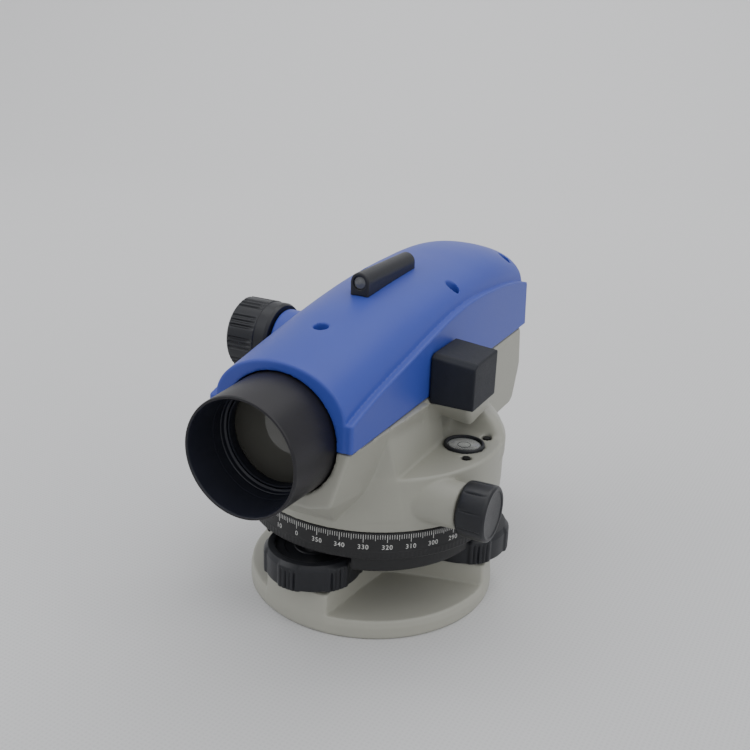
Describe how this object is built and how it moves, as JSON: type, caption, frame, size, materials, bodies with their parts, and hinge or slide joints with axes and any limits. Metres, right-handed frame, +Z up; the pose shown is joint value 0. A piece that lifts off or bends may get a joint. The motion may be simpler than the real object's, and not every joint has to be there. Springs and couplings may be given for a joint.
{
  "type": "automatic level",
  "caption": "Surveyor's automatic level on a round foot plate with levelling screws, a graduated horizontal circle, a circular bubble with viewing prism and a hooded telescope.",
  "frame": {"origin": "bottom centre of the whole instrument's box, on the plane the foot plate rests on; the vertical rotation axis stands 7 mm towards the objective from it", "axes": "+Z up; the objective looks along -Y and the eyepiece is at +Y; +X is the side with the circular bubble and its prism"},
  "size_m": [0.1368, 0.2258, 0.1468],
  "materials": {
    "casting_paint": "satin beige-grey enamel on cast alloy",
    "blue_cover": "satin moulded blue plastic",
    "black_plastic": "satin black plastic",
    "black_anodised": "black anodised, fine turned",
    "black_enamel": "black enamel on alloy",
    "scale_black": "matt black with engraved white divisions",
    "bright_steel": "turned steel",
    "spring_steel": "blued spring steel",
    "brass": "turned brass",
    "bronze": "bearing bronze",
    "natural_alloy": "machined alloy",
    "optical_glass": "coated optical glass",
    "vial_glass": "yellow-green filled vial",
    "magnet": "sintered magnet, plated"
  },
  "bodies": {
    "base": {"foot_plate": "casting_paint", "spring_plate": "spring_steel", "spring_plate_screw_1": "bright_steel", "spring_plate_screw_2": "bright_steel", "spring_plate_screw_3": "bright_steel"},
    "foot_screw_1": {"foot_screw_stem_1": "bright_steel", "foot_screw_knob_1": "black_plastic"},
    "foot_screw_2": {"foot_screw_stem_2": "bright_steel", "foot_screw_knob_2": "black_plastic"},
    "foot_screw_3": {"foot_screw_stem_3": "bright_steel", "foot_screw_knob_3": "black_plastic"},
    "head": {"levelling_head": "black_enamel", "foot_screw_nut_1": "brass", "foot_screw_nut_2": "brass", "foot_screw_nut_3": "brass", "spindle": "bright_steel"},
    "circle": {"horizontal_circle": "scale_black"},
    "alidade": {"housing": "casting_paint", "spindle_bearing": "bronze", "top_cover": "blue_cover", "cover_screw_1": "bright_steel", "cover_screw_2": "bright_steel", "cover_screw_3": "bright_steel", "cover_screw_4": "bright_steel", "cover_screw_5": "bright_steel", "peep_sight": "black_plastic", "peep_sight_front_lens": "optical_glass", "objective_hood": "black_anodised", "objective_retaining_ring": "black_anodised", "objective_lens": "optical_glass", "telescope_tube": "black_anodised", "focus_bush": "brass", "compensator_frame": "natural_alloy", "compensator_front_prism": "optical_glass", "compensator_rear_prism": "optical_glass", "suspension_tape_1": "bright_steel", "suspension_tape_2": "bright_steel", "damping_magnet": "magnet", "reticle_ring": "brass", "reticle_glass": "optical_glass", "eyepiece_barrel": "black_anodised", "bubble_cup": "black_plastic", "bubble_vial": "vial_glass", "bubble_screw_1": "bright_steel", "bubble_screw_2": "bright_steel", "prism_housing": "black_plastic", "bubble_prism": "optical_glass"},
    "worm_wheel_body": {"worm_wheel": "brass"},
    "tangent_drive": {"tangent_shaft": "bright_steel", "tangent_knob_left": "black_plastic", "tangent_knob_right": "black_plastic"},
    "focus_drive": {"focus_pinion_shaft": "bright_steel", "focus_knob": "black_plastic"},
    "focus_slide": {"focusing_lens_cell": "brass", "focusing_lens": "optical_glass"},
    "pendulum": {"pendulum_arm": "natural_alloy", "pendulum_prism": "optical_glass"},
    "dioptre": {"dioptre_ring": "black_plastic"},
    "eyepiece_slide": {"eyepiece_cell": "black_anodised", "eyepiece_lens": "optical_glass"}
  },
  "joints": [
    {"name": "foot_screw_1_turn", "type": "hinge", "parent": "base", "child": "foot_screw_1", "pos_m": [-0.00773, -0.04676, 0.026], "axis": [0, 0, 1], "range_deg": [-720, 720]},
    {"name": "foot_screw_2_turn", "type": "hinge", "parent": "base", "child": "foot_screw_2", "pos_m": [0.03829, 0.00619, 0.026], "axis": [0, 0, 1], "range_deg": [-720, 720]},
    {"name": "foot_screw_3_turn", "type": "hinge", "parent": "base", "child": "foot_screw_3", "pos_m": [-0.03057, 0.01957, 0.026], "axis": [0, 0, 1], "range_deg": [-720, 720]},
    {"name": "head_tilt", "type": "hinge", "parent": "base", "child": "head", "pos_m": [0.00386, 0.01288, 0.036], "axis": [0.9816, -0.1908, 0], "range_deg": [-1.41, 1.41]},
    {"name": "circle_turn", "type": "hinge", "parent": "head", "child": "circle", "pos_m": [0, -0.007, 0.044], "axis": [0, 0, 1], "continuous": true},
    {"name": "alidade_turn", "type": "hinge", "parent": "head", "child": "alidade", "pos_m": [0, -0.007, 0.06], "axis": [0, 0, 1], "continuous": true},
    {"name": "tangent_turn", "type": "hinge", "parent": "alidade", "child": "tangent_drive", "pos_m": [0, -0.039, 0.0625], "axis": [1, 0, 0], "continuous": true},
    {"name": "worm_wheel_turn", "type": "hinge", "parent": "alidade", "child": "worm_wheel_body", "pos_m": [0, -0.007, 0.061], "axis": [0, 0, 1], "continuous": true},
    {"name": "focus_turn", "type": "hinge", "parent": "alidade", "child": "focus_drive", "pos_m": [-0.048, -0.0213, 0.1102], "axis": [1, 0, 0], "range_deg": [-140, 140]},
    {"name": "focus_travel", "type": "slide", "parent": "alidade", "child": "focus_slide", "axis": [0, 1, 0], "range_m": [-0.0097, 0.0097]},
    {"name": "pendulum_swing", "type": "hinge", "parent": "alidade", "child": "pendulum", "pos_m": [0, 0.051, 0.1187], "axis": [1, 0, 0], "range_deg": [-0.5, 0.5]},
    {"name": "dioptre_turn", "type": "hinge", "parent": "alidade", "child": "dioptre", "pos_m": [0, 0.105, 0.0993], "axis": [0, 1, 0], "range_deg": [-150, 150]},
    {"name": "eyepiece_travel", "type": "slide", "parent": "alidade", "child": "eyepiece_slide", "axis": [0, 1, 0], "range_m": [-0.00155, 0.00155]}
  ],
  "couplings": [
    {"joint": "foot_screw_1_turn", "follows": "head_tilt", "ratio": 508.94},
    {"joint": "tangent_turn", "follows": "worm_wheel_turn", "ratio": -80},
    {"joint": "focus_turn", "follows": "focus_travel", "rad_per_m": 250},
    {"joint": "dioptre_turn", "follows": "eyepiece_travel", "rad_per_m": 1666.7}
  ]
}
